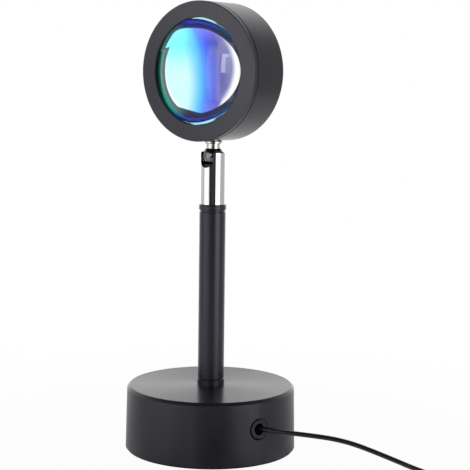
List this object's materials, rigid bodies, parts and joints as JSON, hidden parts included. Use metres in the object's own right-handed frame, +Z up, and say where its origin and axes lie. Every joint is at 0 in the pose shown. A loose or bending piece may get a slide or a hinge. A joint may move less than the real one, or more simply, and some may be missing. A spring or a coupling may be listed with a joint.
{
  "type": "sunset projection lamp",
  "caption": "Small projection lamp: weighted round base, slim post, slotted ball joint and a round head with a coated dome lens, on a USB cord.",
  "frame": {"origin": "middle of the base's underside, on the surface the lamp stands on", "axes": "+Z up along the post, the lens faces -Y at rest, +X to the lens's right as seen from behind the lamp's front"},
  "size_m": [0.2103, 0.1327, 0.236],
  "materials": {
    "base_black": "black anodised, fine turned lines on the side, satin top",
    "post_black": "satin black",
    "head_black": "satin black",
    "bezel_black": "matte charcoal",
    "chrome": "polished",
    "lens_glass": "clear, coated",
    "filter_glass": "colour-shifting cyan to violet coating",
    "pad_foam": "matte",
    "inner_steel": "zinc plated",
    "screw_steel": "zinc plated",
    "weight_iron": "as cast",
    "black_plastic": "matte",
    "button_black": "gloss",
    "black_rubber": "soft matte",
    "cord_black": "smooth semi-gloss jacket",
    "white_plastic": "gloss white",
    "board_white": "white solder mask",
    "board_green": "green solder mask",
    "led_yellow": "phosphor",
    "bare_aluminium": "bare",
    "plug_steel": "nickel plated",
    "gold_contacts": "gold flash"
  },
  "bodies": {
    "root": {"base_shell": "base_black", "base_pad": "pad_foam", "base_cover": "inner_steel", "cover_screws": "screw_steel", "counterweight": "weight_iron", "cord_grommet": "black_plastic", "clamp_saddle": "black_plastic", "clamp_bar": "black_plastic", "clamp_screws": "screw_steel", "lower_collar": "post_black", "post_tube": "post_black", "upper_collar": "post_black", "threaded_rod": "inner_steel", "rod_washer": "screw_steel", "rod_nut": "screw_steel", "swivel_sleeve": "chrome", "friction_seat": "black_plastic", "friction_springs": "screw_steel", "feed_wires": "black_rubber", "cord_lead": "cord_black", "cord_middle": "cord_black", "cord_coil": "cord_black", "cord_tail": "cord_black", "coil_tie": "black_rubber", "switch_lower_case": "black_plastic", "switch_upper_case": "black_plastic", "switch_board": "board_green", "switch_module": "black_plastic", "switch_screws": "screw_steel", "plug_grip": "black_rubber", "plug_shell": "plug_steel", "plug_insert": "white_plastic", "plug_contacts": "gold_contacts"},
    "ball": {"swivel_ball": "chrome"},
    "head": {"swivel_stem": "chrome", "stem_nut": "screw_steel", "head_shell": "head_black", "front_bezel": "bezel_black", "lens": "lens_glass", "colour_filter": "filter_glass", "lens_gasket": "black_rubber", "retaining_ring": "bezel_black", "reflector": "white_plastic", "led_board": "board_white", "led_chip": "led_yellow", "board_screws": "screw_steel", "heat_sink": "bare_aluminium", "sink_screws": "screw_steel", "head_wires": "black_rubber"},
    "button": {"switch_button": "button_black"}
  },
  "joints": [
    {"name": "head_tilt", "type": "hinge", "parent": "root", "child": "ball", "pos_m": [0, 0, 0.1561], "axis": [1, 0, 0], "range_deg": [-5, 90]},
    {"name": "head_turn", "type": "hinge", "parent": "ball", "child": "head", "pos_m": [0, 0, 0.1561], "axis": [0, 0, 1], "range_deg": [-170, 170]},
    {"name": "button_press", "type": "slide", "parent": "root", "child": "button", "axis": [0, 0, -1], "range_m": [0, 0.0012], "stiffness_N_per_m": 500, "springref_m": -0.001}
  ]
}
